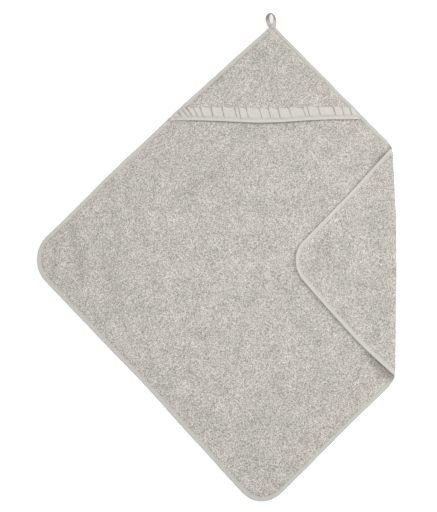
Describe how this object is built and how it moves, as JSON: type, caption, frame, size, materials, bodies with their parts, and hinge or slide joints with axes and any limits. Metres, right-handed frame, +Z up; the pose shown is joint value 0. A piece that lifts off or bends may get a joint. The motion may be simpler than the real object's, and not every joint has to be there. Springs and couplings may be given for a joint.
{
  "type": "hooded baby towel",
  "caption": "Square terry bath towel with a triangular frilled hood over one corner, bound edges, a tape hanging loop, lying flat with one corner turned over.",
  "frame": {"origin": "on the surface the towel lies on, under the middle of its outline", "axes": "+Y towards the hooded corner and its hanging loop, +X towards the fold of the turned-over corner, +Z up through the cloth"},
  "size_m": [0.8412, 1.1382, 0.0205],
  "materials": {
    "terry": "matte",
    "tape": "matte",
    "thread": "satin"
  },
  "bodies": {
    "towel": {"terry_panel": "terry", "fold_roll": "terry", "edge_binding": "tape", "fold_binding_upper": "tape", "fold_binding_lower": "tape", "edge_stitch_front": "thread", "edge_stitch_back": "thread", "loop_bartack": "thread"},
    "corner": {"terry_corner": "terry", "corner_binding": "tape", "corner_stitch_front": "thread", "corner_stitch_back": "thread"},
    "hood": {"hood_panel": "terry", "hood_binding": "tape", "hood_frill": "tape", "hood_stitch_front": "thread", "hood_stitch_back": "thread", "frill_gathering_stitch": "thread"},
    "loop": {"hanging_loop": "tape"}
  },
  "joints": [
    {"name": "corner_fold", "type": "hinge", "parent": "towel", "child": "corner", "pos_m": [0.4161, 0, 0.0072], "axis": [0, 1, 0], "range_deg": [0, 179.4], "deforming": ["fold_roll", "fold_binding_upper", "fold_binding_lower"]},
    {"name": "hood_open", "type": "hinge", "parent": "towel", "child": "hood", "pos_m": [0.1201, 0.51735, 0.0047], "axis": [-1, 0, 0], "range_deg": [0, 18]},
    {"name": "loop_flip", "type": "hinge", "parent": "towel", "child": "loop", "pos_m": [0.1201, 0.53306, 0.0046], "axis": [1, 0, 0], "range_deg": [0, 150]}
  ]
}
